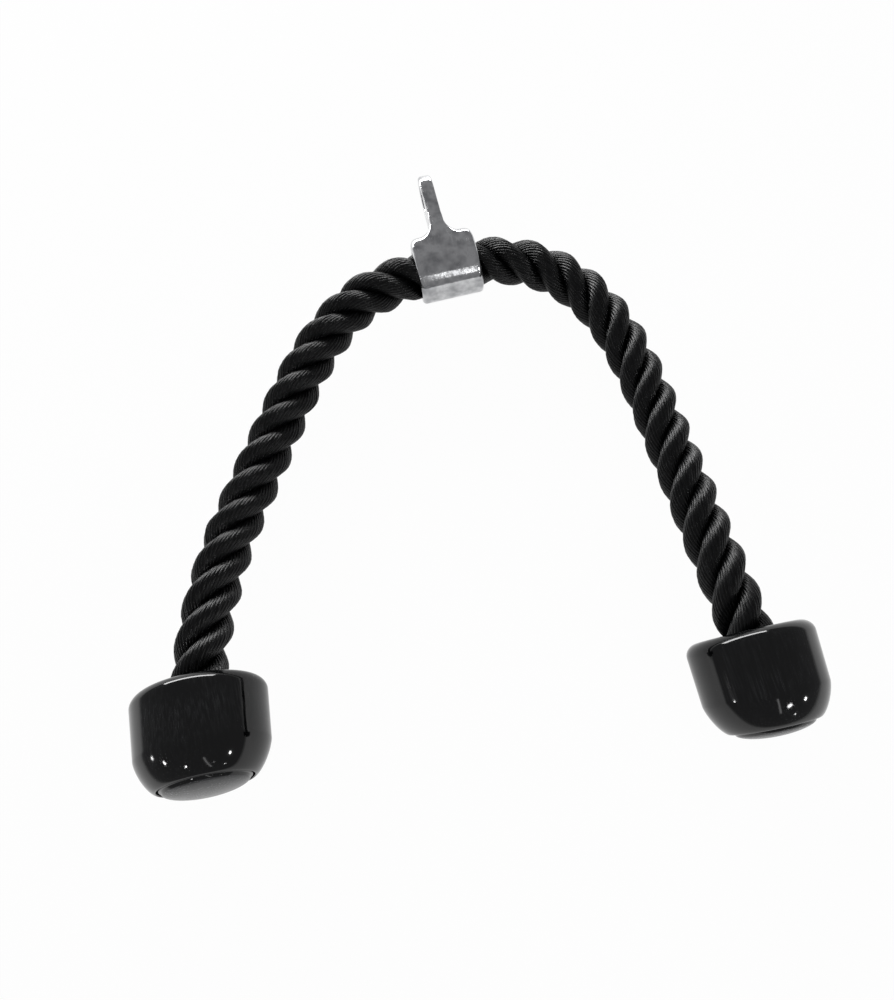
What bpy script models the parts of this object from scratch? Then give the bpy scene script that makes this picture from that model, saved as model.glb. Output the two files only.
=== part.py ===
# Triceps rope attachment: a three-strand rope through a cast eye connector, with a turned cap on each end.
# It lies on a table: X along the connector's sleeve, Y from the sleeve to the eye, Z up, sizes in metres.

import math

import bmesh
import bpy
from mathutils import Vector

mm = 0.001

# Clearances
seat_gap = 0.3 * mm            # between pieces that touch on the real object
rope_fit = 0.5 * mm            # between the rope's crests and a bore
cut_overrun = 3.0 * mm         # how far a cutter runs past the face that it cuts
weld_distance = 0.001 * mm     # points of one surface that are the same point

# Rope
rope_diameter = 26.0 * mm
lay_length = 58.1 * mm         # one full turn of a strand
strand_radius = 7.2 * mm
heart_radius = 2.4 * mm        # open channel along the rope's axis
strand_gap = 0.3 * mm
ring_spacing = 7.2 * mm
strand_count = 3
crest_facets = 7
lay_phase = math.radians(-19)   # angle of the first strand at the sleeve's middle

# Connector
sleeve_length = 36.0 * mm
sleeve_diameter = 33.6 * mm
mouth_rounding = 2.2 * mm
mouth_chamfer = 0.6 * mm
collar_rise = 3.2 * mm         # extra wall of the sleeve under the eye
collar_rounding = 5.0 * mm     # its fall towards each mouth
eye_reach = 62.0 * mm          # sleeve axis to the tip of the eye
eye_end_radius = 13.0 * mm
eye_hole_radius = 7.5 * mm
eye_hole_rounding = 1.0 * mm
plate_thickness = 7.6 * mm
plate_rounding = 2.0 * mm
fillet_across = 8.0 * mm       # from the plate's cheek, along the sleeve
fillet_along = 8.6 * mm       # from the collar, up the plate
sleeve_x = 37.61 * mm          # sleeve's centre from the middle of the part
sleeve_y = 113.59 * mm

# End caps
cap_top_radius = 30.9 * mm
cap_low_radius = 30.1 * mm
cap_height = 44.2 * mm
shoulder_across = 6.4 * mm
shoulder_along = 6.0 * mm
base_rounding = 15.0 * mm      # along the cap's axis
base_roundness = 1.45          # exponent of the base curve, 1 is an ellipse
cap_edge = 0.6 * mm
chamber_radius = 17.2 * mm
plug_seat_depth = 5.0 * mm     # from the closed end to the plug's ledge
chamber_depth = 22.0 * mm      # from the plug's ledge to the ledge that holds the ferrule

# Pieces inside and under the caps
plug_radius = 20.5 * mm
plug_dome = 4.8 * mm
plug_edge = 0.7 * mm
plug_skirt_wall = 2.4 * mm
plug_skirt_depth = 2.6 * mm
ferrule_wall = 3.0 * mm
ferrule_length = 15.0 * mm
ferrule_edge = 0.8 * mm
washer_thickness = 1.8 * mm
screw_clearance = 1.0 * mm      # from the shank to the strands' open channel
screw_length = 24.0 * mm
screw_tip = 5.0 * mm
screw_head_radius = 4.6 * mm
screw_head_height = 1.6 * mm
screw_head_edge = 0.5 * mm

# Facets round each turned piece
cap_facets = 36
plug_facets = 36
ring_facets = 28
screw_facets = 16

# Route of the rope's centre line from each mouth of the sleeve, measured from the sleeve's centre
left_route = [
    (-0.0276, -0.0009, 0.0), (-0.0511, -0.0073, -0.0003), (-0.0726, -0.0217, -0.0011),
    (-0.0903, -0.0407, -0.0021), (-0.1054, -0.0618, -0.0029), (-0.1197, -0.0835, -0.0031),
    (-0.1334, -0.1055, -0.0022), (-0.1462, -0.1280, -0.0002), (-0.1566, -0.1516, 0.0030),
    (-0.1640, -0.1761, 0.0073),
]
right_route = [
    (0.0278, -0.0018, 0.0), (0.0511, -0.0114, -0.0004), (0.0702, -0.0302, -0.0012),
    (0.0819, -0.0543, -0.0022), (0.0878, -0.0806, -0.0029), (0.0907, -0.1074, -0.0030),
    (0.0919, -0.1342, -0.0008), (0.0923, -0.1608, 0.0033), (0.0922, -0.1873, 0.0081),
    (0.0925, -0.2139, 0.0124),
]
left_cap_x = -168.1 * mm              # middle of the cap's top face from the sleeve's centre
left_cap_y = -200.6 * mm
right_cap_x = 93.1 * mm
right_cap_y = -240.2 * mm
left_cap_turn = math.radians(0.2)    # axis in plan, from -Y towards +X
right_cap_turn = math.radians(-2.1)
left_cap_dip = math.radians(-11.0)    # closed end below the rope's end
right_cap_dip = math.radians(0.5)

# Sizes that follow from the ones above
rope_radius = rope_diameter / 2
bore_radius = rope_radius + rope_fit
sleeve_radius = sleeve_diameter / 2
sleeve_centre = Vector((sleeve_x, sleeve_y, sleeve_radius))
mouth_reach = sleeve_length / 2
eye_centre_reach = eye_reach - eye_end_radius
collar_radius = sleeve_radius + collar_rise
fillet_top = collar_radius + fillet_along
seat_start = cap_height - plug_seat_depth
chamber_start = seat_start - chamber_depth
rope_end = chamber_start + seat_gap + ferrule_length
screw_radius = heart_radius - screw_clearance
washer_start = rope_end + seat_gap
head_start = washer_start + washer_thickness + seat_gap


def clear_scene():
    for thing in list(bpy.data.objects):
        bpy.data.objects.remove(thing, do_unlink=True)


def make_material(name, colour, roughness, metallic):
    material = bpy.data.materials.new(name)
    material.use_nodes = True
    shader = material.node_tree.nodes["Principled BSDF"]
    shader.inputs["Base Color"].default_value = (*colour, 1.0)
    shader.inputs["Roughness"].default_value = roughness
    shader.inputs["Metallic"].default_value = metallic
    return material


def make_object(name, points, faces, material, parent=None, smooth=True):
    mesh = bpy.data.meshes.new(name)
    mesh.from_pydata([tuple(point) for point in points], [], faces)
    shape = bmesh.new()
    shape.from_mesh(mesh)
    bmesh.ops.recalc_face_normals(shape, faces=shape.faces)
    shape.to_mesh(mesh)
    shape.free()
    mesh.materials.append(material)
    piece = bpy.data.objects.new(name, mesh)
    bpy.context.collection.objects.link(piece)
    piece.parent = parent
    if smooth:
        mesh.shade_smooth()
        mesh.set_sharp_from_angle(angle=math.radians(35))
    return piece


# Turned pieces. An outline lists (distance along the axis, radius); radius 0 is a point on the axis.
def turned_mesh(outline, facets):
    points = []
    rings = []
    for along, radius in outline:
        count = 1 if radius == 0 else facets
        rings.append(range(len(points), len(points) + count))
        for step in range(count):
            angle = 2 * math.pi * step / facets
            points.append((radius * math.sin(angle), radius * math.cos(angle), along))
    closed = outline[0][1] > 0
    pairs = list(zip(rings, rings[1:]))
    if closed:
        pairs.append((rings[-1], rings[0]))
    faces = []
    for one, two in pairs:
        for step in range(facets):
            after = (step + 1) % facets
            corners = [one[step % len(one)], one[after % len(one)]]
            corners += [two[after % len(two)], two[step % len(two)]]
            faces.append(list(dict.fromkeys(corners)))
    return points, faces


def quarter_arc(count):
    return [(math.sin(math.pi / 2 * step / count), math.cos(math.pi / 2 * step / count))
            for step in range(count + 1)]


def cap_outer_outline():
    outline = []
    for rise, across in quarter_arc(4):
        outline.append((shoulder_along * (1 - across),
                        cap_top_radius - shoulder_across * (1 - rise)))
    base_start = cap_height - base_rounding
    rim_radius = plug_radius + seat_gap + cap_edge
    for rise, across in quarter_arc(7):
        outline.append((base_start + base_rounding * rise ** base_roundness,
                        rim_radius + (cap_low_radius - rim_radius) * across ** base_roundness))
    return outline


def cap_outline():
    seat_radius = plug_radius + seat_gap
    inside = [
        (cap_height - cap_edge, seat_radius), (seat_start, seat_radius),
        (seat_start, chamber_radius), (chamber_start, chamber_radius),
        (chamber_start, bore_radius), (cap_edge, bore_radius), (0, bore_radius + cap_edge),
    ]
    return cap_outer_outline() + inside


def plug_outline():
    underside = seat_start + seat_gap
    skirt_end = underside - plug_skirt_depth
    skirt_radius = chamber_radius - seat_gap
    skirt_inner = skirt_radius - plug_skirt_wall
    outline = [(underside, 0), (underside, skirt_inner), (skirt_end, skirt_inner),
               (skirt_end, skirt_radius), (underside, skirt_radius), (underside, plug_radius)]
    for rise, across in quarter_arc(6):
        outline.append((cap_height - plug_edge + (plug_dome + plug_edge) * rise,
                        plug_radius * across if rise < 1 else 0))
    return outline


def ferrule_outline():
    start = chamber_start + seat_gap
    end = start + ferrule_length
    inner = rope_radius + seat_gap
    outer = inner + ferrule_wall
    return [(start, inner), (start, outer - ferrule_edge), (start + ferrule_edge, outer),
            (end - ferrule_edge, outer), (end, outer - ferrule_edge), (end, inner)]


def washer_outline():
    hole = screw_radius + seat_gap
    rim = rope_radius + seat_gap + ferrule_wall
    end = washer_start + washer_thickness
    return [(washer_start, hole), (washer_start, rim), (end, rim), (end, hole)]


def screw_outline():
    top = head_start + screw_head_height
    return [(top, 0), (top, screw_head_radius - screw_head_edge),
            (top - screw_head_edge, screw_head_radius), (head_start, screw_head_radius),
            (head_start, screw_radius), (head_start - screw_length + screw_tip, screw_radius),
            (head_start - screw_length, 0)]


# Cap axes
def cap_axis(turn, dip):
    return Vector((math.sin(turn) * math.cos(dip), -math.cos(turn) * math.cos(dip), -math.sin(dip)))


# Height of the middle of a cap's top face when the cap's side rests on the table.
def cap_rest_height(dip):
    return max(along * math.sin(dip) + radius * math.cos(dip)
               for along, radius in cap_outer_outline())


def cap_top_centre(x, y, dip):
    return Vector((sleeve_centre.x + x, sleeve_centre.y + y, cap_rest_height(dip)))


# Rope centre line: a Hermite curve through the route, then straight down the cap's bore.
def hermite(start, end, start_way, end_way, share):
    square = share * share
    cube = square * share
    span = (end - start).length
    return ((2 * cube - 3 * square + 1) * start + (3 * square - 2 * cube) * end
            + span * ((cube - 2 * square + share) * start_way + (cube - square) * end_way))


def arm_centre_line(side, route, cap_top, axis):
    mouth = sleeve_centre + Vector((side * mouth_reach, 0, 0))
    stops = [mouth] + [sleeve_centre + Vector(point) for point in route] + [cap_top]
    ways = [Vector((side, 0, 0))]
    for before, after in zip(stops, stops[2:]):
        ways.append((after - before).normalized())
    ways.append(axis)
    line = []
    pieces = 24
    for index in range(len(stops) - 1):
        for step in range(pieces):
            line.append(hermite(stops[index], stops[index + 1], ways[index], ways[index + 1],
                                step / pieces))
    line.append(cap_top)
    line.append(cap_top + axis * rope_end)
    return line


# Point and direction at a distance along a centre line.
def walk(line, distance):
    for start, end in zip(line, line[1:]):
        span = (end - start).length
        if distance <= span or end is line[-1]:
            way = (end - start).normalized()
            return start + way * distance, way
        distance -= span


def line_length(line):
    return sum((end - start).length for start, end in zip(line, line[1:]))


# One strand's section: a round crest between two flat flanks that its neighbours lie against.
def strand_section():
    reach = rope_radius - strand_radius
    half_sector = math.pi / strand_count
    offset = strand_gap / 2
    foot = reach * math.cos(half_sector)
    depth = reach * math.sin(half_sector) - offset
    groove = foot + math.sqrt(strand_radius ** 2 - depth ** 2)
    flank = Vector((math.cos(half_sector), math.sin(half_sector)))
    inward = Vector((math.sin(half_sector), -math.cos(half_sector))) * offset
    heart_corner = flank * heart_radius + inward
    groove_corner = flank * groove + inward
    crest_end = math.atan2(groove_corner.y, groove_corner.x - reach)
    section = [Vector((heart_corner.x, -heart_corner.y))]
    for step in range(crest_facets + 1):
        angle = -crest_end + 2 * crest_end * step / crest_facets
        section.append(Vector((reach + strand_radius * math.cos(angle),
                               strand_radius * math.sin(angle))))
    section.append(heart_corner)
    section.append(Vector((heart_radius, 0)))
    return section


def strand_mesh(line, start, end, phase, offset_along, origin):
    section = strand_section()
    count = len(section)
    rings = max(1, math.ceil((end - start) / ring_spacing))
    points = []
    for ring in range(rings + 1):
        distance = start + (end - start) * ring / rings
        centre, way = walk(line, distance)
        across = Vector((0, 0, 1)).cross(way).normalized()
        over = way.cross(across)
        turn = phase + 2 * math.pi * (distance + offset_along) / lay_length
        for spot in section:
            east = spot.x * math.cos(turn) - spot.y * math.sin(turn)
            north = spot.x * math.sin(turn) + spot.y * math.cos(turn)
            points.append(centre + across * east + over * north - origin)
    faces = [list(range(count)), list(range(rings * count, (rings + 1) * count))]
    for ring in range(rings):
        for column in range(count):
            after = (column + 1) % count
            low = ring * count + column
            low_after = ring * count + after
            high = low + count
            high_after = low_after + count
            if section[column].length <= section[after].length:
                faces += [[low, low_after, high_after], [low, high_after, high]]
            else:
                faces += [[low, low_after, high], [low_after, high_after, high]]
    return points, faces


def make_strands(prefix, line, start, end, side, offset_along, material, parent, origin):
    for index in range(strand_count):
        phase = lay_phase + 2 * math.pi * index / strand_count
        if side < 0:
            phase = math.pi - phase
        points, faces = strand_mesh(line, start, end, phase, offset_along, origin)
        make_object(f"{prefix}_strand_{index + 1}", points, faces, material, parent)


# Connector. Its side view is a teardrop round the sleeve and the eye; angles are from +Y.
def flank_angle():
    return math.acos((sleeve_radius - eye_end_radius) / eye_centre_reach)


def flank_crossing(radius):
    return flank_angle() - math.acos(sleeve_radius / radius)


# Polar points of one slice. The eye's end, the flank beyond and within the limit, then the sleeve.
def teardrop_half(limit, pull_in):
    flank = flank_angle()
    crossing = flank_crossing(min(limit, fillet_top))
    tip_steps, upper_steps, lower_steps, round_steps = 6, 3, 3, 8
    polar = []
    for step in range(tip_steps + 1):
        turn = flank * step / tip_steps
        spot = Vector((eye_centre_reach + eye_end_radius * math.cos(turn),
                       eye_end_radius * math.sin(turn)))
        polar.append((math.atan2(spot.y, spot.x), spot.length))
    tip_end = polar[-1][0]
    for step in range(1, upper_steps + 1):
        angle = tip_end + (crossing - tip_end) * step / upper_steps
        polar.append((angle, sleeve_radius / math.cos(flank - angle)))
    for step in range(1, lower_steps + 1):
        angle = crossing + (flank - crossing) * step / lower_steps
        polar.append((angle, sleeve_radius / math.cos(flank - angle)))
    for step in range(round_steps + 1):
        angle = math.pi / 2 * (1 + step / round_steps)
        polar.append((angle, sleeve_radius))
    half = []
    for angle, radius in polar:
        if limit > fillet_top:
            radius = max(radius - pull_in, min(radius, fillet_top))
        else:
            radius = min(radius, limit) - pull_in
        half.append((angle, radius))
    return half


def ring_from_half(half, across):
    ring = [(across, radius * math.cos(angle), radius * math.sin(angle)) for angle, radius in half]
    ring += [(across, y, -z) for x, y, z in reversed(ring[1:-1])]
    return ring


# Half of the slices, from the plate's middle to the sleeve's mouth, as (x, limit radius, pull in).
def connector_slices():
    beyond = 2 * eye_reach
    half_plate = plate_thickness / 2
    slices = []
    for rise, across in quarter_arc(3):
        slices.append((half_plate - plate_rounding * (1 - rise), beyond,
                       plate_rounding * (1 - across)))
    for rise, across in quarter_arc(5):
        slices.append((half_plate + fillet_across * (1 - across),
                       collar_radius + fillet_along * (1 - rise), 0))
    for rise, across in quarter_arc(4):
        inset = collar_rounding * (1 - rise)
        into_rounding = max(0, mouth_rounding - inset)
        pull_in = mouth_rounding - math.sqrt(mouth_rounding ** 2 - into_rounding ** 2)
        slices.append((mouth_reach - inset, sleeve_radius + collar_rise * across, pull_in))
    return slices


def connector_rings():
    right = []
    for across, limit, pull_in in connector_slices():
        right.append(ring_from_half(teardrop_half(limit, pull_in), across))
    angles = [angle for angle, radius in teardrop_half(sleeve_radius, 0)]
    bore_start = [(angle, bore_radius + mouth_chamfer) for angle in angles]
    bore_run = [(angle, bore_radius) for angle in angles]
    right.append(ring_from_half(bore_start, mouth_reach))
    right.append(ring_from_half(bore_run, mouth_reach - mouth_chamfer))
    left = [[(-x, y, z) for x, y, z in ring] for ring in reversed(right)]
    return left + right


def make_connector(material):
    rings = connector_rings()
    count = len(rings[0])
    points = [point for ring in rings for point in ring]
    faces = []
    for ring in range(len(rings)):
        following = (ring + 1) % len(rings)
        for column in range(count):
            after = (column + 1) % count
            faces.append([ring * count + column, ring * count + after,
                          following * count + after, following * count + column])
    piece = make_object("connector", points, faces, material, smooth=False)
    piece.location = sleeve_centre
    shape = bmesh.new()
    shape.from_mesh(piece.data)
    bmesh.ops.remove_doubles(shape, verts=shape.verts, dist=weld_distance)
    bmesh.ops.recalc_face_normals(shape, faces=shape.faces)
    shape.to_mesh(piece.data)
    shape.free()
    cutter = make_eye_cutter(material)
    cut = piece.modifiers.new("eye_hole", "BOOLEAN")
    cut.operation = "DIFFERENCE"
    cut.solver = "EXACT"
    cut.object = cutter
    piece.data.shade_smooth()
    piece.data.set_sharp_from_angle(angle=math.radians(30))
    return piece


# A spool that leaves the hole with rounded edges.
def make_eye_cutter(material):
    half_plate = plate_thickness / 2
    outline = [(-half_plate - cut_overrun, 0)]
    profile = []
    for rise, across in quarter_arc(3):
        profile.append((half_plate - eye_hole_rounding * (1 - rise),
                        eye_hole_radius + eye_hole_rounding * (1 - across)))
    wide = eye_hole_radius + eye_hole_rounding
    outline.append((-half_plate - cut_overrun, wide))
    outline += [(-along, radius) for along, radius in reversed(profile)]
    outline += profile
    outline.append((half_plate + cut_overrun, wide))
    outline.append((half_plate + cut_overrun, 0))
    points, faces = turned_mesh(outline, ring_facets)
    cutter = make_object("eye_cutter", points, faces, material)
    cutter.rotation_euler = (0, math.pi / 2, 0)
    cutter.location = sleeve_centre + Vector((0, eye_centre_reach, 0))
    cutter.hide_render = True
    cutter.display_type = "WIRE"
    return cutter


def make_turned(name, outline, facets, material, parent, place, axis):
    points, faces = turned_mesh(outline, facets)
    piece = make_object(name, points, faces, material, parent)
    piece.rotation_mode = "QUATERNION"
    piece.rotation_quaternion = axis.to_track_quat("Z", "Y")
    piece.location = place - parent.location
    return piece


def make_pivot(name, side):
    pivot = bpy.data.objects.new(name, None)
    bpy.context.collection.objects.link(pivot)
    pivot.location = sleeve_centre + Vector((side * mouth_reach, 0, 0))
    return pivot


def make_arm(prefix, side, route, top, axis, materials):
    pivot = make_pivot(f"{prefix}_arm_pivot", side)
    line = arm_centre_line(side, route, top, axis)
    make_strands(prefix, line, strand_gap / 2, line_length(line), side, mouth_reach,
                 materials["rope"], pivot, pivot.location)
    outlines = [
        ("cap", cap_outline(), cap_facets, "cap"),
        ("end_plug", plug_outline(), plug_facets, "plug"),
        ("ferrule", ferrule_outline(), ring_facets, "steel"),
        ("stop_washer", washer_outline(), ring_facets, "steel"),
        ("wedge_screw", screw_outline(), screw_facets, "steel"),
    ]
    for name, outline, facets, finish in outlines:
        make_turned(f"{prefix}_{name}", outline, facets, materials[finish], pivot, top, axis)


def make_core(material):
    line = [sleeve_centre, sleeve_centre + Vector((mouth_reach, 0, 0))]
    reach = mouth_reach - strand_gap / 2
    make_strands("core", line, -reach, reach, 1, 0, material, None, Vector((0, 0, 0)))


def main():
    clear_scene()
    materials = {
        "rope": make_material("rope_fibre", (0.012, 0.013, 0.014), 0.55, 0.0),
        "cap": make_material("gloss_black", (0.008, 0.009, 0.010), 0.12, 0.0),
        "plug": make_material("satin_black", (0.018, 0.019, 0.020), 0.4, 0.0),
        "steel": make_material("plain_steel", (0.45, 0.45, 0.46), 0.35, 1.0),
        "chrome": make_material("chrome", (0.62, 0.63, 0.64), 0.12, 1.0),
    }
    make_connector(materials["chrome"])
    make_core(materials["rope"])
    left_top = cap_top_centre(left_cap_x, left_cap_y, left_cap_dip)
    right_top = cap_top_centre(right_cap_x, right_cap_y, right_cap_dip)
    make_arm("left", -1, left_route, left_top, cap_axis(left_cap_turn, left_cap_dip), materials)
    make_arm("right", 1, right_route, right_top, cap_axis(right_cap_turn, right_cap_dip), materials)


main()
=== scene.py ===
# Triceps rope attachment: laid rope, chrome connector and moulded caps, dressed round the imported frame.
import math

import bmesh
import bpy
import numpy as np
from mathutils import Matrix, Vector


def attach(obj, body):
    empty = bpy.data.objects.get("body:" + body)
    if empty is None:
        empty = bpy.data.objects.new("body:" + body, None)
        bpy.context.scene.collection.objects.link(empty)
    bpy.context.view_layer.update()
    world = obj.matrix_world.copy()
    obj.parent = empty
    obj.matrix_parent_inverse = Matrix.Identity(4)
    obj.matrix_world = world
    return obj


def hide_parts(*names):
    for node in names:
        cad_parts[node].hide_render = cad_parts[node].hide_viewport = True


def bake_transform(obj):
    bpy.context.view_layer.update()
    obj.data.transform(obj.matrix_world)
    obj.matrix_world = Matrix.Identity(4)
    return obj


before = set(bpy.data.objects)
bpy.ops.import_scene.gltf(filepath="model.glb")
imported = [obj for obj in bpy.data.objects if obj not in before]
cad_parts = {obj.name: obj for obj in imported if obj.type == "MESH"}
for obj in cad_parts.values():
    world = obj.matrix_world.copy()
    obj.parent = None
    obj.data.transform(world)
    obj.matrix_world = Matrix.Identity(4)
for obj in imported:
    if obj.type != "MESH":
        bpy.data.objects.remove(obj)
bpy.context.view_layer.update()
print("frame loaded")

mm = 0.001
sleeveCentre = np.array([0.03761, 0.11359, 0.0168])
mouthReach = 18.0 * mm
up = np.array([0.0, 0.0, 1.0])

# The rope's route from each mouth of the sleeve, measured from the sleeve's centre.
leftRoute = [
    (-0.0276, -0.0009, 0.0), (-0.0511, -0.0073, -0.0003), (-0.0726, -0.0217, -0.0011),
    (-0.0903, -0.0407, -0.0021), (-0.1054, -0.0618, -0.0029), (-0.1197, -0.0835, -0.0031),
    (-0.1334, -0.1055, -0.0022), (-0.1462, -0.1280, -0.0002), (-0.1566, -0.1516, 0.0030),
    (-0.1640, -0.1761, 0.0073),
]
rightRoute = [
    (0.0278, -0.0018, 0.0), (0.0511, -0.0114, -0.0004), (0.0702, -0.0302, -0.0012),
    (0.0819, -0.0543, -0.0022), (0.0878, -0.0806, -0.0029), (0.0907, -0.1074, -0.0030),
    (0.0919, -0.1342, -0.0008), (0.0923, -0.1608, 0.0033), (0.0922, -0.1873, 0.0081),
    (0.0925, -0.2139, 0.0124),
]
# Each cap's top face: its middle from the sleeve's centre, and the way its axis turns and dips in degrees.
capPlaces = {
    "left": {"top": (-0.1681, -0.2006, 0.012387), "turn": 0.2, "dip": -11.0},
    "right": {"top": (0.0931, -0.2402, 0.014151), "turn": -2.1, "dip": 0.5},
}


# A grid of points becomes one mesh: rows run along, columns run round, and either may close on itself.
def gridMesh(name, grid, wrapRows=False, wrapColumns=True, capEnds=False, uv=None):
    rows, columns = grid.shape[:2]
    index = np.arange(rows * columns).reshape(rows, columns)
    nextRow = np.roll(index, -1, axis=0)
    nextColumn = np.roll(index, -1, axis=1)
    nextBoth = np.roll(nextRow, -1, axis=1)
    quads = np.stack([index, nextColumn, nextBoth, nextRow], axis=-1)
    if not wrapRows:
        quads = quads[:-1]
    if not wrapColumns:
        quads = quads[:, :-1]
    faces = quads.reshape(-1, 4).tolist()
    if capEnds:
        faces += [index[0][::-1].tolist(), index[-1].tolist()]
    mesh = bpy.data.meshes.new(name)
    mesh.from_pydata(grid.reshape(-1, 3).tolist(), [], faces)
    if uv is not None:
        addUv(mesh, uv, quads.shape[:2])
    mesh.update()
    piece = bpy.data.objects.new(name, mesh)
    bpy.context.collection.objects.link(piece)
    return piece


# uv holds one more row and column than the quads, so a pattern runs on over the seam.
def addUv(mesh, uv, shape):
    rows, columns = shape
    corners = np.stack([uv[:rows, :columns], uv[:rows, 1:columns + 1],
                        uv[1:rows + 1, 1:columns + 1], uv[1:rows + 1, :columns]], axis=2)
    values = np.zeros((len(mesh.loops), 2), np.float32)
    flat = corners.reshape(-1, 2)
    values[:len(flat)] = flat
    layer = mesh.uv_layers.new(name="UVMap")
    layer.data.foreach_set("uv", values.reshape(-1))


# Merges points that meet, such as a pole, and turns every face outwards.
def weld(piece, distance=1e-6):
    shape = bmesh.new()
    shape.from_mesh(piece.data)
    bmesh.ops.remove_doubles(shape, verts=shape.verts, dist=distance)
    bmesh.ops.recalc_face_normals(shape, faces=shape.faces)
    shape.to_mesh(piece.data)
    shape.free()
    return piece


def unit(vectors):
    return vectors / np.linalg.norm(vectors, axis=-1, keepdims=True)


# Points on a quarter circle, as (sine, cosine) columns from 0 to 90 degrees.
def quarter(count):
    angle = np.linspace(0, math.pi / 2, count)
    return np.sin(angle), np.cos(angle)


def capAxis(place):
    turn, dip = math.radians(place["turn"]), math.radians(place["dip"])
    return np.array([math.sin(turn) * math.cos(dip), -math.cos(turn) * math.cos(dip), -math.sin(dip)])


# Shader helpers: a material with its parts, a node with its values, a group, a colour mix, a noise and a bump.
def newMaterial(name):
    material = bpy.data.materials.new(name)
    material.use_nodes = True
    tree = material.node_tree
    return material, tree.nodes, tree.links, tree.nodes["Principled BSDF"]


def addNode(nodes, kind, values=None, **settings):
    node = nodes.new(kind)
    for key, value in settings.items():
        setattr(node, key, value)
    for key, value in (values or {}).items():
        node.inputs[key].default_value = value
    return node


def newGroup(name, inputs, outputs):
    group = bpy.data.node_groups.new(name, "ShaderNodeTree")
    for label, kind, value in inputs:
        socket = group.interface.new_socket(label, in_out="INPUT", socket_type=kind)
        if value is not None:
            socket.default_value = value
    for label, kind in outputs:
        group.interface.new_socket(label, in_out="OUTPUT", socket_type=kind)
    return group, group.nodes.new("NodeGroupInput"), group.nodes.new("NodeGroupOutput")


# On a mix node the two colours are inputs 6 and 7, and their mixture is output 2.
def mixColours(nodes, links, share, first, second, target):
    mix = addNode(nodes, "ShaderNodeMix", {6: first, 7: second}, data_type="RGBA")
    links.new(share, mix.inputs[0])
    links.new(mix.outputs[2], target)


def addNoise(nodes, links, place, scale, detail):
    noise = addNode(nodes, "ShaderNodeTexNoise", {"Scale": scale, "Detail": detail})
    links.new(place.outputs["Object"], noise.inputs["Vector"])
    return noise


def addBump(nodes, links, texture, strength, distance, target):
    bump = addNode(nodes, "ShaderNodeBump", {"Strength": strength, "Distance": distance})
    links.new(texture.outputs["Fac"], bump.inputs["Height"])
    links.new(bump.outputs["Normal"], target)
    return bump


# Fine wear: cloudy handling marks times thin streaks along Y give a mask, which adds to the roughness.
def buildWearGroup():
    group, given, out = newGroup("handlingWear", [
        ("Vector", "NodeSocketVector", None), ("Cloud Scale", "NodeSocketFloat", 60.0),
        ("Streak Scale", "NodeSocketFloat", 900.0), ("Base Roughness", "NodeSocketFloat", 0.1),
        ("Extra Roughness", "NodeSocketFloat", 0.1),
    ], [("Mask", "NodeSocketFloat"), ("Roughness", "NodeSocketFloat")])
    nodes, links = group.nodes, group.links
    clouds = addNode(nodes, "ShaderNodeTexNoise", {"Detail": 5.0, "Roughness": 0.62})
    streaks = addNode(nodes, "ShaderNodeTexNoise", {"Detail": 2.0})
    stretch = addNode(nodes, "ShaderNodeMapping", {"Scale": (1.0, 0.05, 1.0)})
    cloudRange = addNode(nodes, "ShaderNodeMapRange", {"From Min": 0.40, "From Max": 0.72})
    streakRange = addNode(nodes, "ShaderNodeMapRange", {"From Min": 0.45, "From Max": 0.70})
    both = addNode(nodes, "ShaderNodeMath", operation="MULTIPLY")
    rough = addNode(nodes, "ShaderNodeMath", operation="MULTIPLY_ADD")
    links.new(given.outputs["Vector"], clouds.inputs["Vector"])
    links.new(given.outputs["Cloud Scale"], clouds.inputs["Scale"])
    links.new(given.outputs["Vector"], stretch.inputs["Vector"])
    links.new(stretch.outputs["Vector"], streaks.inputs["Vector"])
    links.new(given.outputs["Streak Scale"], streaks.inputs["Scale"])
    links.new(clouds.outputs["Fac"], cloudRange.inputs["Value"])
    links.new(streaks.outputs["Fac"], streakRange.inputs["Value"])
    links.new(cloudRange.outputs["Result"], both.inputs[0])
    links.new(streakRange.outputs["Result"], both.inputs[1])
    links.new(both.outputs[0], rough.inputs[0])
    links.new(given.outputs["Extra Roughness"], rough.inputs[1])
    links.new(given.outputs["Base Roughness"], rough.inputs[2])
    links.new(both.outputs[0], out.inputs["Mask"])
    links.new(rough.outputs[0], out.inputs["Roughness"])
    return group


wearGroup = buildWearGroup()


# Places the wear in a material, with its roughness on the shader.
def addWear(nodes, links, shader, wear):
    cloudScale, streakScale, roughness, extraRoughness = wear
    marks = addNode(nodes, "ShaderNodeGroup", {
        "Cloud Scale": cloudScale, "Streak Scale": streakScale,
        "Base Roughness": roughness, "Extra Roughness": extraRoughness}, node_tree=wearGroup)
    place = addNode(nodes, "ShaderNodeTexCoord")
    links.new(place.outputs["Object"], marks.inputs["Vector"])
    links.new(marks.outputs["Roughness"], shader.inputs["Roughness"])
    return marks, place


# A worn surface: the wear's mask mixes a clean and a worn colour, and a noise stands up as a bump.
def wornMaterial(name, finish):
    material, nodes, links, shader = newMaterial(name)
    shader.inputs["Metallic"].default_value = finish["metallic"]
    marks, place = addWear(nodes, links, shader, finish["wear"])
    mixColours(nodes, links, marks.outputs["Mask"], finish["clean"], finish["worn"],
               shader.inputs["Base Color"])
    grain = addNoise(nodes, links, place, finish["grainScale"], finish["grainDetail"])
    addBump(nodes, links, grain, finish["bumpStrength"], finish["bumpDistance"], shader.inputs["Normal"])
    return material


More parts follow.
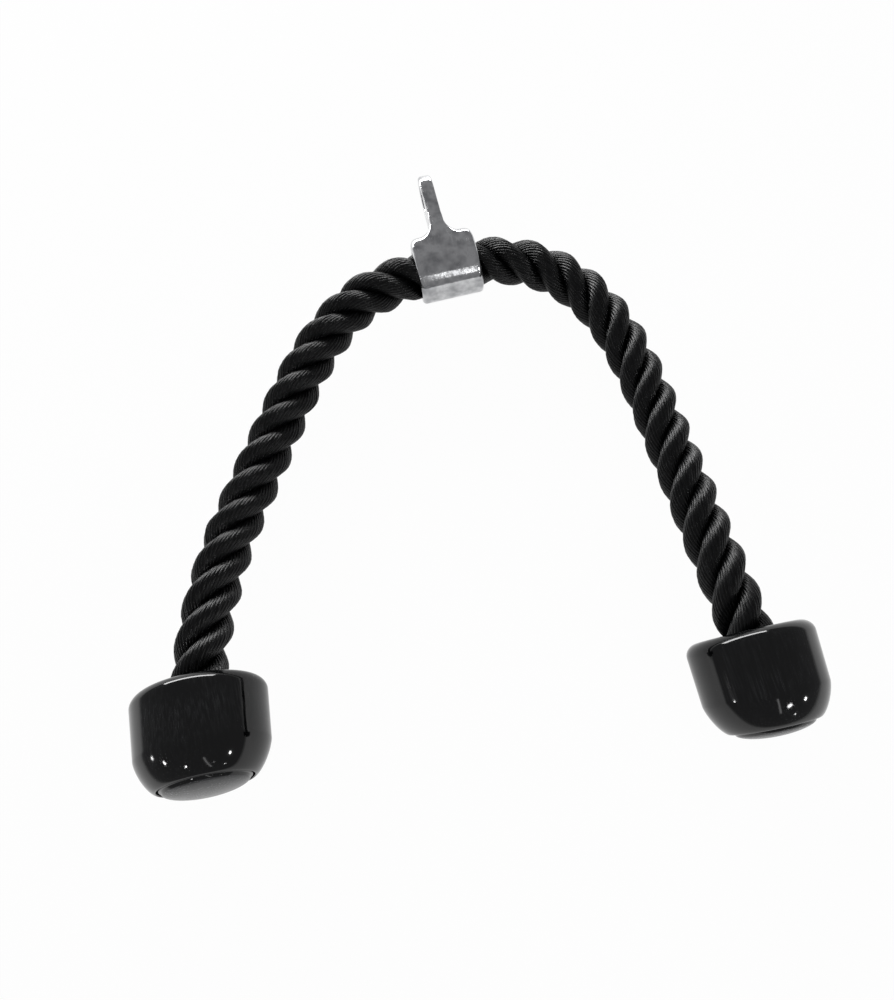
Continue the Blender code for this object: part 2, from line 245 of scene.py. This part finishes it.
# Rope.
rope = {
    "diameter": 26 * mm,
    "crest": 13.2 * mm,       # the strands' crests from the rope's axis
    "lay": 58.1 * mm,         # one full turn of a strand
    "strandRadius": 7.25 * mm,
    "strandMiddle": 0.85,     # a strand's own middle, as a share of the way to its crest's centre
    "heart": 2.2 * mm,        # each strand's flat from the rope's axis
    "flankWay": 150,          # degrees from the crest to the way a flank faces
    "flankGap": 0.04 * mm,    # kept free of the neighbour's flank
    "cornerPower": 14,        # of the mean that rounds a strand's corners, higher is sharper
    "phase": -19,             # degrees, the first strand at the sleeve's middle
    "yarns": 30,              # round one strand
    "columnsPerYarn": 8,
    "yarnTurns": -1.4,        # turns of the yarns in a strand for each turn of the strand
    "yarnHeight": 0.60 * mm,
    "yarnRoundness": 0.94,    # 1 is a full half circle
    "yarnSunk": 0.75,         # the share of a ridge that lies within the strand's outline
    "heightSpread": 0.15,     # between one yarn's height and the next
    "wander": 0.12 * mm,      # how far a yarn strays in or out
    "steadyShare": 0.45,      # the part of it that holds all along the yarn
    "waveShare": 0.35,        # the part of it that comes and goes
    "waves": (310, 810),      # radians for each metre, a slow wave and a quick one
    "quickShare": 0.6,        # height of the quick wave against the slow one
    "seed": 40,
    "step": 2.5 * mm,
    "endLength": 32.5 * mm,   # hidden in the cap
    "bendReach": 110 * mm,    # the length of rope beyond the mouth, where it would bend when an arm swings
    "black": (0.0012, 0.0014, 0.0017, 1.0),
    "rubbed": (0.020, 0.021, 0.022, 1.0),
}


# Cubic Hermite through the stops, each way along the chord of its neighbours, then a straight end in the cap.
def centreLine(side, route, place, endLength, pieces=24):
    top = sleeveCentre + np.array(place["top"])
    axis = capAxis(place)
    mouth = sleeveCentre + np.array([side * mouthReach, 0, 0])
    stops = np.vstack([mouth, sleeveCentre + np.array(route), top])
    ways = unit(np.vstack([[side, 0, 0], stops[2:] - stops[:-2], axis]))
    t = (np.arange(pieces) / pieces)[None, :, None]
    start, end = stops[:-1, None], stops[1:, None]
    span = np.linalg.norm(end - start, axis=-1, keepdims=True)
    curve = ((2 * t ** 3 - 3 * t ** 2 + 1) * start + (3 * t ** 2 - 2 * t ** 3) * end
             + span * ((t ** 3 - 2 * t ** 2 + t) * ways[:-1, None] + (t ** 3 - t ** 2) * ways[1:, None]))
    return np.vstack([sleeveCentre, curve.reshape(-1, 3), top, top + axis * endLength])


# Even steps along a line: the points, and each one's distance from its start.
def evenSteps(line, step):
    along = np.concatenate([[0], np.cumsum(np.linalg.norm(np.diff(line, axis=0), axis=1))])
    distance = np.linspace(0, along[-1], int(round(along[-1] / step)) + 1)
    return np.stack([np.interp(distance, along, line[:, k]) for k in range(3)], axis=1), distance


# Reach of a strand's outline at angle b: the least of its round crest, its two flat flanks and the flat
# at the heart, joined by a power mean so that the corners are round. A flat's reach is its depth over the
# cosine of the angle to it, and a flat that faces away is out of reach.
def strandOutline(b):
    reach = rope["crest"] - rope["strandRadius"]
    middle = reach * rope["strandMiddle"]
    offset = reach - middle
    crest = offset * np.cos(b) + np.sqrt(rope["strandRadius"] ** 2 - (offset * np.sin(b)) ** 2)
    least, outOfReach = 0.05, 1.0

    def flat(depth, cosine):
        return np.where(cosine > least, depth / np.maximum(cosine, least), outOfReach)

    flankDepth = middle * math.sin(math.pi / 3) - rope["flankGap"]
    flank = flat(flankDepth, np.cos(np.abs(b) - math.radians(rope["flankWay"])))
    heart = flat(middle - rope["heart"], -np.cos(b))
    power = rope["cornerPower"]
    return (crest ** -power + flank ** -power + heart ** -power) ** (-1 / power), middle


# One strand: a row at each step of the path, and columns that follow its yarns. A yarn is a round ridge,
# the root of one minus its squared place across, with a height and two waves of its own. In the UV map one
# unit of U is a yarn and V is in mm.
def strandGrid(points, distance, phase, seed):
    rng = np.random.default_rng(seed)
    yarns, each = rope["yarns"], rope["columnsPerYarn"]
    column = np.arange(yarns * each)
    turn = 2 * math.pi * distance / rope["lay"]
    b = (2 * math.pi * column / (yarns * each))[None, :] + (rope["yarnTurns"] * turn)[:, None]
    b = (b + math.pi) % (2 * math.pi) - math.pi
    radius, middle = strandOutline(b)
    across = (column % each) / each * 2 - 1
    ridge = np.sqrt(1 - rope["yarnRoundness"] * across ** 2) - rope["yarnSunk"]
    yarn = column // each
    rise = rng.normal(0, 1, yarns)[yarn]
    starts = rng.uniform(0, 2 * math.pi, (2, yarns))[:, yarn]
    slow, quick = rope["waves"]
    wave = (np.sin(distance[:, None] * slow + starts[0])
            + rope["quickShare"] * np.sin(distance[:, None] * quick + starts[1]))
    radius = (radius + rope["yarnHeight"] * ridge * (1 + rope["heightSpread"] * rise)
              + rope["wander"] * (rope["steadyShare"] * rise + rope["waveShare"] * wave))
    x = middle + radius * np.cos(b)
    y = radius * np.sin(b)
    angle = (phase + turn)[:, None]
    east = x * np.cos(angle) - y * np.sin(angle)
    north = x * np.sin(angle) + y * np.cos(angle)
    way = unit(np.gradient(points, axis=0))
    side = unit(np.cross(up, way))
    over = np.cross(way, side)
    grid = points[:, None] + east[..., None] * side[:, None] + north[..., None] * over[:, None]
    u = np.arange(yarns * each + 1) / each
    v = distance * 1000
    return grid, np.stack(np.broadcast_arrays(u[None, :], v[:, None]), axis=-1)


def makeRope(name, side, route, place):
    points, distance = evenSteps(centreLine(side, route, place, rope["endLength"]), rope["step"])
    strands = []
    for index in range(3):
        phase = math.radians(rope["phase"]) + 2 * math.pi * index / 3
        phase = phase if side > 0 else math.pi - phase
        grid, uv = strandGrid(points, distance, phase, rope["seed"] + 7 * index + side)
        strands.append(gridMesh(f"{name}_{index}", grid, capEnds=True, uv=uv))
    bpy.ops.object.select_all(action="DESELECT")
    for strand in strands:
        strand.select_set(True)
    bpy.context.view_layer.objects.active = strands[0]
    bpy.ops.object.join()
    piece = bpy.context.view_layer.objects.active
    piece.name = piece.data.name = name
    piece.data.shade_smooth()
    return piece, points, distance


# Black fibre: fine filaments times broad patches on the UV map make the rubbed stretches, which are brighter.
def ropeMaterial():
    material, nodes, links, shader = newMaterial("laidBlackFibre")
    place = addNode(nodes, "ShaderNodeUVMap", uv_map="UVMap")
    stretch = addNode(nodes, "ShaderNodeMapping", {"Scale": (5.0, 0.22, 1.0)})
    filament = addNode(nodes, "ShaderNodeTexNoise", {"Scale": 1.0, "Detail": 3.0, "Roughness": 0.65})
    broad = addNode(nodes, "ShaderNodeMapping", {"Scale": (0.9, 0.07, 1.0)})
    patches = addNode(nodes, "ShaderNodeTexNoise", {"Scale": 1.0, "Detail": 2.0})
    for mapping, texture in ((stretch, filament), (broad, patches)):
        links.new(place.outputs["UV"], mapping.inputs["Vector"])
        links.new(mapping.outputs["Vector"], texture.inputs["Vector"])
    rubbed = addNode(nodes, "ShaderNodeMath", operation="MULTIPLY")
    links.new(filament.outputs["Fac"], rubbed.inputs[0])
    links.new(patches.outputs["Fac"], rubbed.inputs[1])
    share = addNode(nodes, "ShaderNodeMapRange", {"From Min": 0.24, "From Max": 0.50})
    links.new(rubbed.outputs[0], share.inputs["Value"])
    mixColours(nodes, links, share.outputs["Result"], rope["black"], rope["rubbed"],
               shader.inputs["Base Color"])
    roughness = addNode(nodes, "ShaderNodeMapRange", {"To Min": 0.16, "To Max": 0.38})
    links.new(filament.outputs["Fac"], roughness.inputs["Value"])
    links.new(roughness.outputs["Result"], shader.inputs["Roughness"])
    addBump(nodes, links, filament, 0.7, 0.25 * mm, shader.inputs["Normal"])
    shader.inputs["Specular IOR Level"].default_value = 0.30
    return material


# An arm of rope replaces its strands, which are hidden, and its placement is baked into its mesh.
def dressArm(piece, nodes):
    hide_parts(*nodes)
    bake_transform(piece)


arms = {
    "leftRopeArm": {
        "side": -1, "route": leftRoute, "cap": "left", "body": "left_arm",
        "nodes": ("left_strand_1", "left_strand_2", "left_strand_3", "core_strand_1", "core_strand_2")},
    "rightRopeArm": {
        "side": 1, "route": rightRoute, "cap": "right", "body": "right_arm",
        "nodes": ("right_strand_1", "right_strand_2", "right_strand_3", "core_strand_3")},
}
fibre = ropeMaterial()
for name, arm in arms.items():
    piece, points, distance = makeRope(name, arm["side"], arm["route"], capPlaces[arm["cap"]])
    piece.data.materials.clear()
    piece.data.materials.append(fibre)
    dressArm(piece, arm["nodes"])
    print(name, "laid,", round(distance[-1] / mm, 1), "mm,", len(piece.data.polygons), "faces")


# Connector.
connector = {
    "sleeveRadius": 16.8 * mm,
    "boreRadius": 13.5 * mm,
    "mouthRounding": 2.2 * mm,
    "mouthChamfer": 0.6 * mm,
    "collarRise": 3.2 * mm,
    "collarRounding": 5.0 * mm,
    "eyeCentre": 49.0 * mm,   # from the sleeve's axis
    "eyeEndRadius": 13 * mm,
    "holeRadius": 7.5 * mm,
    "holeRounding": 1.0 * mm,
    "plateHalf": 3.8 * mm,
    "plateRounding": 2.0 * mm,
    "roundingFade": 6.0 * mm,  # the length over which the rounding dies out towards the fillet
    "filletAcross": 8.0 * mm,
    "filletAlong": 8.6 * mm,
    "creaseSoftness": 42,     # power of the mean that rounds the crease, higher is sharper
    "holeFacets": 112,
    "steps": {                # points along each stretch of the casting
        "tip": 46, "flank": 72, "round": 62, "edge": 14, "cheek": 9, "fillet": 26, "collar": 20, "mouth": 7,
        "hole": 8},
    "chrome": (0.82, 0.825, 0.835, 1.0),
    "dull": (0.46, 0.465, 0.48, 1.0),
    "wear": (200.0, 2400.0, 0.10, 0.30),  # scale of clouds and of streaks, roughness, and what wear adds to it
}


# Side view of the connector in polar form from the sleeve's axis, angles from +Y: the eye's end circle,
# then the straight flank that touches both circles, then the sleeve's circle.
def teardrop():
    big, small, gap = connector["sleeveRadius"], connector["eyeEndRadius"], connector["eyeCentre"]
    steps = connector["steps"]
    flank = math.acos((big - small) / gap)
    arc = np.linspace(0, flank, steps["tip"])
    tip = np.stack([gap + small * np.cos(arc), small * np.sin(arc)], axis=1)
    tipAngle = np.arctan2(tip[:, 1], tip[:, 0])
    flankAngle = np.linspace(tipAngle[-1], flank, steps["flank"])[1:]
    roundAngle = np.linspace(flank, math.pi, steps["round"])[1:]
    angle = np.concatenate([tipAngle, flankAngle, roundAngle])
    radius = np.concatenate([np.linalg.norm(tip, axis=1), big / np.cos(flank - flankAngle),
                             np.full(len(roundAngle), big)])
    return np.concatenate([angle, 2 * math.pi - angle[-2:0:-1]]), np.concatenate([radius, radius[-2:0:-1]])


# Rows from the plate's middle to the mouth and back along the bore, mirrored for the other side. Each is the
# teardrop, held within a limit that falls along an elliptical fillet from the plate to the collar and rounds
# off at the mouth. The rounding of the plate's edge dies out towards the fillet as a smooth step.
def connectorGrid():
    facts = connector
    steps = facts["steps"]
    angle, free = teardrop()
    collar = facts["sleeveRadius"] + facts["collarRise"]
    filletTop = collar + facts["filletAlong"]
    half = facts["plateHalf"]
    rows = [(0.0, free), (half * 0.2, free)]
    sine, cosine = quarter(steps["edge"])
    fade = np.clip((free - filletTop) / facts["roundingFade"], 0, 1)
    pulled = facts["plateRounding"] * fade ** 2 * (3 - 2 * fade)
    for rise, across in zip(sine, cosine):
        rows.append((half - facts["plateRounding"] * (1 - rise), free - pulled * (1 - across)))
    cheek = rows[-1][1]
    soft = facts["creaseSoftness"]

    def within(limit):
        return (free ** -soft + limit ** -soft) ** (-1 / soft)

    foot = np.minimum(within(filletTop), cheek)
    for share in np.linspace(0, 1, steps["cheek"])[1:-1]:
        rows.append((half, cheek + (foot - cheek) * share))
    sine, cosine = quarter(steps["fillet"])
    for rise, across in zip(sine, cosine):
        rows.append((half + facts["filletAcross"] * (1 - across),
                     np.minimum(within(collar + facts["filletAlong"] * (1 - rise)), cheek)))
    sine, cosine = quarter(steps["collar"])
    for rise, across in zip(sine, cosine):
        inset = facts["collarRounding"] * (1 - rise)
        into = max(0.0, facts["mouthRounding"] - inset)
        pull = facts["mouthRounding"] - math.sqrt(facts["mouthRounding"] ** 2 - into ** 2)
        rows.append((mouthReach - inset, within(facts["sleeveRadius"] + facts["collarRise"] * across) - pull))
    sine, cosine = quarter(steps["mouth"])
    for rise, across in zip(sine, cosine):
        rows.append((mouthReach - facts["mouthChamfer"] * (1 - across),
                     np.full(len(free), facts["boreRadius"] + facts["mouthChamfer"] * (1 - rise))))
    rows.append((mouthReach * 0.5, np.full(len(free), facts["boreRadius"])))
    x = np.array([row[0] for row in rows])
    radius = np.stack([row[1] for row in rows])
    right = np.stack(np.broadcast_arrays(x[:, None], radius * np.cos(angle), radius * np.sin(angle)), axis=-1)
    left = right[:0:-1] * np.array([-1, 1, 1])
    return np.concatenate([left, right]) + sleeveCentre


# A spool that cuts the eye's hole and leaves its edges round.
def holeCutter():
    facts = connector
    half = facts["plateHalf"]
    overshoot = 3 * mm
    sine, cosine = quarter(facts["steps"]["hole"])
    along = half - facts["holeRounding"] * (1 - sine)
    radius = facts["holeRadius"] + facts["holeRounding"] * (1 - cosine)
    along = np.concatenate([[-half - overshoot] * 2, -along[::-1], along, [half + overshoot] * 2])
    radius = np.concatenate([[0, radius[-1]], radius[::-1], radius, [radius[-1], 0]])
    turn = 2 * math.pi * np.arange(facts["holeFacets"]) / facts["holeFacets"]
    across, height = radius[:, None] * np.cos(turn), radius[:, None] * np.sin(turn)
    grid = np.stack(np.broadcast_arrays(along[:, None], across, height), axis=-1)
    return weld(gridMesh("holeCutter", grid + sleeveCentre + np.array([0, facts["eyeCentre"], 0])))


def makeConnector():
    piece = weld(gridMesh("connectorCasting", connectorGrid(), wrapRows=True))
    cutter = holeCutter()
    cut = piece.modifiers.new("eyeHole", "BOOLEAN")
    cut.operation = "DIFFERENCE"
    cut.solver = "EXACT"
    cut.object = cutter
    piece.data.shade_smooth()
    weighted = piece.modifiers.new("flatCheeks", "WEIGHTED_NORMAL")
    weighted.weight = 80
    evaluated = piece.evaluated_get(bpy.context.evaluated_depsgraph_get())
    mesh = bpy.data.meshes.new_from_object(evaluated)
    piece.modifiers.clear()
    piece.data = mesh
    bpy.data.objects.remove(cutter, do_unlink=True)
    piece.data.name = piece.name
    return piece


# Chrome over a cast body: soft hollows of the casting, which are duller, with handling marks and a fine grain.
def chromeMaterial():
    material, nodes, links, shader = newMaterial("satinChrome")
    shader.inputs["Metallic"].default_value = 1.0
    marks, place = addWear(nodes, links, shader, connector["wear"])
    hollows = addNoise(nodes, links, place, 150.0, 2.0)
    cloudy = addNode(nodes, "ShaderNodeMapRange", {"From Min": 0.38, "From Max": 0.68})
    worn = addNode(nodes, "ShaderNodeMath", operation="MAXIMUM")
    links.new(hollows.outputs["Fac"], cloudy.inputs["Value"])
    links.new(cloudy.outputs["Result"], worn.inputs[0])
    links.new(marks.outputs["Mask"], worn.inputs[1])
    mixColours(nodes, links, worn.outputs[0], connector["chrome"], connector["dull"],
               shader.inputs["Base Color"])
    grain = addNoise(nodes, links, place, 2200.0, 2.0)
    small = addBump(nodes, links, grain, 0.05, 0.04 * mm, shader.inputs["Normal"])
    addBump(nodes, links, hollows, 0.55, 0.2 * mm, small.inputs["Normal"])
    return material


casting = makeConnector()
casting.data.materials.clear()
casting.data.materials.append(chromeMaterial())
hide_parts("connector")
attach(casting, "connector")
print("connector cast,", len(casting.data.polygons), "faces")


# Caps and their plugs, with distances along a cap's axis from its top face.
cap = {
    "topRadius": 30.9 * mm,
    "lowRadius": 30.1 * mm,
    "height": 44.2 * mm,
    "shoulderAcross": 6.4 * mm,
    "shoulderAlong": 6.0 * mm,
    "baseRounding": 15 * mm,
    "baseRoundness": 1.45,        # 1 is an ellipse, higher is flatter
    "edge": 0.5 * mm,
    "boreRadius": 13.5 * mm,
    "chamberRadius": 17.2 * mm,
    "chamberStart": 17.2 * mm,
    "seatStart": 39.2 * mm,
    "gap": 0.3 * mm,
    "groove": 0.8 * mm,           # open ring between the cap's lip and the plug
    "plugRadius": 20.3 * mm,
    "plugDome": 4.8 * mm,
    "plugEdge": 0.9 * mm,
    # The near-black gloss ring on the plug's steep edge paints the shade of the seam line; this radius sets
    # that line's width.
    "plugFace": 18.95 * mm,       # satin within this radius, gloss on the steep edge
    "skirtWall": 2.4 * mm,
    "skirtDepth": 2.6 * mm,
    "facets": 180,
    "steps": {"shoulder": 15, "side": 14, "base": 40, "edge": 6, "dome": 26},  # points along the profiles
    "sharpAngle": 40,             # degrees between faces, from which an edge stays sharp
}


# A profile of (distance along the axis, radius) turned round a cap's axis.
def turnedGrid(profile, place):
    axis = capAxis(place)
    side = unit(np.cross(axis, up))
    over = np.cross(side, axis)
    turn = 2 * math.pi * np.arange(cap["facets"]) / cap["facets"]
    ring = np.cos(turn)[:, None] * side + np.sin(turn)[:, None] * over
    top = sleeveCentre + np.array(place["top"])
    return top + profile[:, 0, None, None] * axis + profile[:, 1, None, None] * ring[None]


# A rounded shoulder, a nearly straight side, a base whose sine and cosine are raised to a power, a round lip,
# then the seat, the chamber and the bore.
def capProfile():
    facts = cap
    steps = facts["steps"]
    sine, cosine = quarter(steps["shoulder"])
    shoulder = np.stack([facts["shoulderAlong"] * (1 - cosine),
                         facts["topRadius"] - facts["shoulderAcross"] * (1 - sine)], axis=1)
    rim = facts["plugRadius"] + facts["groove"] + facts["edge"]
    sine, cosine = quarter(steps["base"])
    base = np.stack([facts["height"] - facts["baseRounding"] * (1 - sine ** facts["baseRoundness"]),
                     rim + (facts["lowRadius"] - rim) * cosine ** facts["baseRoundness"]], axis=1)
    share = np.linspace(0, 1, steps["side"])[1:-1, None]
    side = shoulder[-1] + (base[0] - shoulder[-1]) * share
    sine, cosine = quarter(steps["edge"])
    lip = np.stack([facts["height"] - facts["edge"] * (1 - cosine), rim - facts["edge"] * sine], axis=1)[1:]
    bore = facts["boreRadius"]
    inside = np.array([
        (facts["seatStart"], rim - facts["edge"]), (facts["seatStart"], facts["chamberRadius"]),
        (facts["chamberStart"], facts["chamberRadius"]), (facts["chamberStart"], bore)])
    mouth = np.stack([facts["edge"] * (1 - sine), bore + facts["edge"] * (1 - cosine)], axis=1)
    return np.vstack([shoulder, side, base, lip, inside, mouth])


# A dome, the root of one minus its squared place across, with a round edge, and the skirt that snaps into
# the cap.
def plugProfile():
    facts = cap
    under = facts["seatStart"] + facts["gap"]
    skirt = facts["chamberRadius"] - facts["gap"]
    inner = skirt - facts["skirtWall"]
    low = under - facts["skirtDepth"]
    start = np.array([(under, 0), (under, inner), (low, inner), (low, skirt), (under, skirt),
                      (under, facts["plugRadius"])])
    sine, cosine = quarter(facts["steps"]["edge"])
    edge = facts["plugEdge"]
    corner = np.stack([facts["height"] - edge * (1 - sine), facts["plugRadius"] - edge * (1 - cosine)], axis=1)
    reach = facts["plugRadius"] - edge
    across = np.linspace(reach, 0, facts["steps"]["dome"])[1:]
    dome = np.stack([facts["height"] + facts["plugDome"] * np.sqrt(1 - (across / reach) ** 2), across], axis=1)
    return np.vstack([start, corner, dome])


# The faces beyond the satin face, by their middles' distance from the cap's axis, take the second material: the
# near-black gloss on the plug's steep edge, partly the plug's finish and partly painted shade that draws the
# dark seam line along the groove.
def glossEdgeSeamShade(disc, place):
    faces = disc.data.polygons
    middles = np.empty(len(faces) * 3, np.float32)
    faces.foreach_get("center", middles)
    axis = capAxis(place)
    reach = middles.reshape(-1, 3) - (sleeveCentre + np.array(place["top"]))
    away = np.linalg.norm(reach - (reach @ axis)[:, None] * axis, axis=1)
    faces.foreach_set("material_index", (away > cap["plugFace"]).astype(np.int32))


# Wear is the scale of its clouds and of its streaks, the roughness, and what wear adds to it.
finishes = {
    "glossBlackMoulding": {
        "metallic": 0.0, "clean": (0.0014, 0.0016, 0.0018, 1.0), "worn": (0.024, 0.025, 0.026, 1.0),
        "wear": (45.0, 1500.0, 0.07, 0.16), "grainScale": 70.0, "grainDetail": 1.0,
        "bumpStrength": 0.10, "bumpDistance": 0.2 * mm},
    "satinBlackMoulding": {
        "metallic": 0.0, "clean": (0.055, 0.056, 0.058, 1.0), "worn": (0.090, 0.091, 0.093, 1.0),
        "wear": (70.0, 1200.0, 0.24, 0.14), "grainScale": 1800.0, "grainDetail": 2.0,
        "bumpStrength": 0.15, "bumpDistance": 0.05 * mm},
    "zincSteel": {
        "metallic": 1.0, "clean": (0.50, 0.50, 0.51, 1.0), "worn": (0.36, 0.36, 0.38, 1.0),
        "wear": (200.0, 3000.0, 0.28, 0.25), "grainScale": 900.0, "grainDetail": 3.0,
        "bumpStrength": 0.3, "bumpDistance": 0.05 * mm},
}
glossBlack, satinBlack, steel = [wornMaterial(name, finish) for name, finish in finishes.items()]
for side, place in capPlaces.items():
    shell = weld(gridMesh(f"{side}CapShell", turnedGrid(capProfile(), place), wrapRows=True))
    disc = weld(gridMesh(f"{side}PlugDisc", turnedGrid(plugProfile(), place)))
    turned = ((shell, glossBlack, "cap", "cap"), (disc, satinBlack, "end_plug", "plug"))
    for piece, material, node, slot in turned:
        piece.data.shade_smooth()
        piece.data.set_sharp_from_angle(angle=math.radians(cap["sharpAngle"]))
        piece.data.materials.append(material)
        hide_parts(f"{side}_{node}")
        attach(piece, f"{side}_arm")
    # The steep edge's near-black gloss is partly the plug's finish and partly painted shade for the seam line
    # along the groove.
    disc.data.materials.append(glossBlack)
    glossEdgeSeamShade(disc, place)
    for node in ("ferrule", "stop_washer", "wedge_screw"):
        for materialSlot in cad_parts[f"{side}_{node}"].material_slots:
            materialSlot.material = steel
print("caps and plugs turned")


# Camera, lamps, room and table.
camera = {
    "target": (-0.00366, -0.13456, 0.0012),   # from the sleeve's centre
    "distance": 0.413,
    "elevation": 73.3,
    "azimuth": -14.4,
    "lens": 28.08,
    "sensor": 36,
    "shift": (-0.052, -0.015),                # the photo is cropped off its optical axis
}


def addCamera():
    azimuth, elevation = math.radians(camera["azimuth"]), math.radians(camera["elevation"])
    look = Vector((-math.sin(azimuth) * math.cos(elevation), math.cos(azimuth) * math.cos(elevation),
                   -math.sin(elevation)))
    data = bpy.data.cameras.new("camera")
    data.lens = camera["lens"]
    data.shift_x, data.shift_y = camera["shift"]
    data.sensor_width = camera["sensor"]
    data.clip_start = 0.01
    thing = bpy.data.objects.new("camera", data)
    bpy.context.collection.objects.link(thing)
    thing.location = Vector(sleeveCentre) + Vector(camera["target"]) - look * camera["distance"]
    thing.rotation_euler = look.to_track_quat("-Z", "Y").to_euler()
    bpy.context.scene.camera = thing


# Lamps stand round the object: bearing from +Y towards +X and height angle in degrees, distance in metres.
# A beam is the full angle of a lamp that is aimed at one cap.
lamps = {
    "backStrip": {"bearing": -6, "height": 13, "distance": 1.5, "size": (1.8, 0.34), "power": 28},
    "frontStrip": {"bearing": 171, "height": 39, "distance": 1.23, "size": (0.055, 0.50), "power": 0.17},
    "frontWindow": {"bearing": 156, "height": 33, "distance": 1.64, "size": (0.20, 0.10), "power": 0.014,
                    "aim": "right", "beam": 13},
    "rightWindow": {"bearing": 133, "height": 21, "distance": 1.89, "size": (0.11, 0.08), "power": 2.5},
    "leftWindow": {"bearing": -119, "height": 31, "distance": 1.3, "size": (0.10, 0.05), "power": 0.0033,
                   "aim": "left", "beam": 12},
    "leftPane": {"bearing": -105, "height": 18, "distance": 1.3, "size": (0.07, 0.05), "power": 0.5},
    "leftLamp": {"bearing": -153, "height": 41, "distance": 1.33, "size": (0.05, 0.05), "power": 0.0033,
                 "aim": "left", "beam": 16},
    "lowLamp": {"bearing": 154, "height": 17, "distance": 1.48, "size": (0.03, 0.03), "power": 0.15},
}


def addLamp(name, facts):
    bearing, height = math.radians(facts["bearing"]), math.radians(facts["height"])
    way = Vector((math.sin(bearing) * math.cos(height), math.cos(bearing) * math.cos(height), math.sin(height)))
    data = bpy.data.lights.new(name, "AREA")
    data.shape = "RECTANGLE"
    data.size, data.size_y = facts["size"]
    data.energy = facts["power"]
    data.spread = math.radians(facts.get("beam", 180))
    thing = bpy.data.objects.new(name, data)
    bpy.context.collection.objects.link(thing)
    thing.location = way * facts["distance"]
    aim = Vector(sleeveCentre + np.array(capPlaces[facts["aim"]]["top"])) if "aim" in facts else Vector()
    thing.rotation_euler = (aim - thing.location).to_track_quat("-Z", "Y").to_euler()
    thing.visible_camera = False


# The room is grey for the object, and white behind it.
room = {"lit": (0.22, 0.22, 0.225, 1), "seen": (1, 1, 1, 1)}


def buildWorld():
    world = bpy.data.worlds.new("studio")
    world.use_nodes = True
    bpy.context.scene.world = world
    nodes, links = world.node_tree.nodes, world.node_tree.links
    background = nodes["Background"]
    background.inputs["Strength"].default_value = 1.0
    rays = addNode(nodes, "ShaderNodeLightPath")
    mixColours(nodes, links, rays.outputs["Is Camera Ray"], room["lit"], room["seen"],
               background.inputs["Color"])


# White table: lit as a table for shade, and glowing white for the camera. In reflections it glows too: dimmer
# between the arms, white round the object, and fading with its distance.
table = {
    "reach": 6.0,             # metres to each side
    "drop": 0.2 * mm,         # below the caps
    "colour": (0.90, 0.90, 0.90, 1),
    "roughness": 0.7,
    "seenGlow": 0.975,
    "mirroredGlow": ((0.08, 0.50), (0.20, 0.85), (0.50, 0.85), (1.0, 0.12)),  # metres from the middle, share
}


def buildFloor():
    steps = np.linspace(-table["reach"], table["reach"], 3)
    x, y = np.meshgrid(steps, steps)
    piece = gridMesh("floor", np.stack([x, y, np.full_like(x, -table["drop"])], axis=-1), wrapColumns=False)
    material, nodes, links, shader = newMaterial("whiteTable")
    shader.inputs["Base Color"].default_value = table["colour"]
    shader.inputs["Roughness"].default_value = table["roughness"]
    glow = addNode(nodes, "ShaderNodeEmission", {"Strength": 1.0})
    rays = addNode(nodes, "ShaderNodeLightPath")
    place = addNode(nodes, "ShaderNodeTexCoord")
    away = addNode(nodes, "ShaderNodeVectorMath", operation="LENGTH")
    fade = addNode(nodes, "ShaderNodeValToRGB")
    for index, (metres, value) in enumerate(table["mirroredGlow"]):
        stop = fade.color_ramp.elements[index] if index < 2 else fade.color_ramp.elements.new(metres)
        stop.position = metres
        stop.color = (value, value, value, 1)
    seen = addNode(nodes, "ShaderNodeMath", {1: table["seenGlow"]}, operation="MULTIPLY")
    mirrored = addNode(nodes, "ShaderNodeMath", operation="MULTIPLY")
    share = addNode(nodes, "ShaderNodeMath", operation="ADD")
    mix = addNode(nodes, "ShaderNodeMixShader")
    links.new(place.outputs["Object"], away.inputs[0])
    links.new(away.outputs["Value"], fade.inputs["Fac"])
    links.new(rays.outputs["Is Camera Ray"], seen.inputs[0])
    links.new(rays.outputs["Is Glossy Ray"], mirrored.inputs[0])
    links.new(fade.outputs["Color"], mirrored.inputs[1])
    links.new(seen.outputs[0], share.inputs[0])
    links.new(mirrored.outputs[0], share.inputs[1])
    links.new(share.outputs[0], mix.inputs[0])
    links.new(shader.outputs["BSDF"], mix.inputs[1])
    links.new(glow.outputs["Emission"], mix.inputs[2])
    links.new(mix.outputs["Shader"], nodes["Material Output"].inputs["Surface"])
    piece.data.materials.append(material)


addCamera()
for name, facts in lamps.items():
    addLamp(name, facts)
buildWorld()
buildFloor()
bpy.context.scene.view_settings.view_transform = "Standard"
print("camera, floor and light set")
